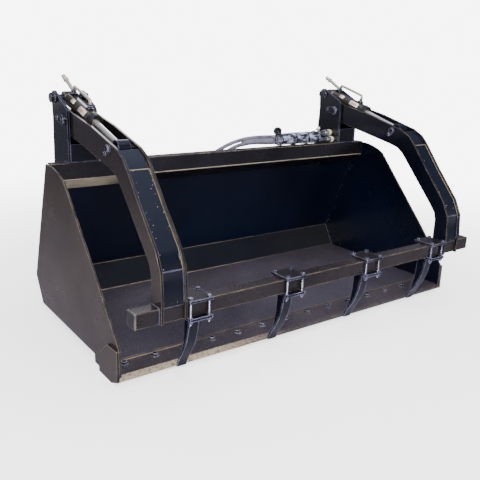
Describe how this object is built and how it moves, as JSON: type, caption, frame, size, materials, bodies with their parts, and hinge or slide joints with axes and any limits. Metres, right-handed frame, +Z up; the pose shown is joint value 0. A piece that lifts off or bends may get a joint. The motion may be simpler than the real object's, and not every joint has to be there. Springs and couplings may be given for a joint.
{
  "type": "skid steer grapple bucket",
  "caption": "Welded loader bucket with a hinged grapple: twin arms on rear towers, hydraulic cylinders, and a crossbar with bolted tines over the cutting edge.",
  "frame": {"origin": "on the ground under the middle of the bounding box", "axes": "+X across the bucket to its right side seen from the front, +Y back towards the loader, +Z up"},
  "size_m": [2.144, 1.2424, 1.2305],
  "materials": {
    "gloss_paint": "gloss black enamel with orange peel and dust",
    "inside_paint": "black enamel, dusty and rougher inside",
    "edge_paint": "black enamel over rolled edge steel, worn at the front",
    "zinc_steel": "zinc plated",
    "chrome_rod": "hard chrome",
    "hose_rubber": "matt wrapped cover",
    "stretch_film": "crinkled grey packing film"
  },
  "bodies": {
    "bucket": {"floor_plate": "inside_paint", "heel_plate": "inside_paint", "back_plate": "inside_paint", "top_beam": "gloss_paint", "side_plate_left": "gloss_paint", "side_cutter_left": "gloss_paint", "side_plate_right": "gloss_paint", "side_cutter_right": "gloss_paint", "cutting_edge": "edge_paint", "lip_plate": "edge_paint", "skid_runner_1": "gloss_paint", "skid_runner_2": "gloss_paint", "skid_runner_3": "gloss_paint", "tower_inner_plate_left": "gloss_paint", "tower_outer_plate_left": "gloss_paint", "tower_front_plate_left": "gloss_paint", "tower_rear_plate_left": "gloss_paint", "pivot_pin_left": "zinc_steel", "cylinder_base_pin_left": "zinc_steel", "tower_inner_plate_right": "gloss_paint", "tower_outer_plate_right": "gloss_paint", "tower_front_plate_right": "gloss_paint", "tower_rear_plate_right": "gloss_paint", "pivot_pin_right": "zinc_steel", "cylinder_base_pin_right": "zinc_steel", "coupler_top_hook": "gloss_paint", "coupler_bottom_ledge": "gloss_paint", "coupler_bar_left": "gloss_paint", "coupler_bar_right": "gloss_paint", "hose_lower": "hose_rubber", "quick_coupler_lower": "zinc_steel", "hose_upper": "hose_rubber", "quick_coupler_upper": "zinc_steel", "hose_wrap": "stretch_film", "bulkhead_bracket": "zinc_steel"},
    "grapple": {"arm_inner_plate_left": "gloss_paint", "arm_outer_plate_left": "gloss_paint", "arm_face_plate_left": "gloss_paint", "arm_web_plate_left": "gloss_paint", "rod_pin_left": "zinc_steel", "arm_inner_plate_right": "gloss_paint", "arm_outer_plate_right": "gloss_paint", "arm_face_plate_right": "gloss_paint", "arm_web_plate_right": "gloss_paint", "rod_pin_right": "zinc_steel", "crossbar_tube": "gloss_paint", "crossbar_cap_left": "gloss_paint", "crossbar_cap_right": "gloss_paint", "tine_1": "gloss_paint", "tine_clamp_1": "gloss_paint", "tine_2": "gloss_paint", "tine_clamp_2": "gloss_paint", "tine_3": "gloss_paint", "tine_clamp_3": "gloss_paint", "tine_4": "gloss_paint", "tine_clamp_4": "gloss_paint"},
    "left_barrel": {"cylinder_barrel_left": "gloss_paint"},
    "left_rod": {"cylinder_rod_left": "chrome_rod"},
    "right_barrel": {"cylinder_barrel_right": "gloss_paint"},
    "right_rod": {"cylinder_rod_right": "chrome_rod"}
  },
  "joints": [
    {"name": "grapple_hinge", "type": "hinge", "parent": "bucket", "child": "grapple", "pos_m": [0, 0.31681, 1.027], "axis": [-1, 0, 0], "range_deg": [0, 60]},
    {"name": "left_barrel_hinge", "type": "hinge", "parent": "bucket", "child": "left_barrel", "pos_m": [-0.89, 0.42881, 1.122], "axis": [-1, 0, 0], "range_deg": [0, 50]},
    {"name": "left_rod_slide", "type": "slide", "parent": "left_barrel", "child": "left_rod", "axis": [0, 0.9623, 0.2719], "range_m": [0, 0.106]},
    {"name": "right_barrel_hinge", "type": "hinge", "parent": "bucket", "child": "right_barrel", "pos_m": [0.89, 0.42881, 1.122], "axis": [-1, 0, 0], "range_deg": [0, 50]},
    {"name": "right_rod_slide", "type": "slide", "parent": "right_barrel", "child": "right_rod", "axis": [0, 0.9623, 0.2719], "range_m": [0, 0.106]}
  ],
  "couplings": [
    {"joint": "left_barrel_hinge", "follows": "grapple_hinge", "ratio": 0.8215},
    {"joint": "left_rod_slide", "follows": "grapple_hinge", "m_per_rad": 0.10023},
    {"joint": "right_barrel_hinge", "follows": "grapple_hinge", "ratio": 0.8215},
    {"joint": "right_rod_slide", "follows": "grapple_hinge", "m_per_rad": 0.10023}
  ]
}
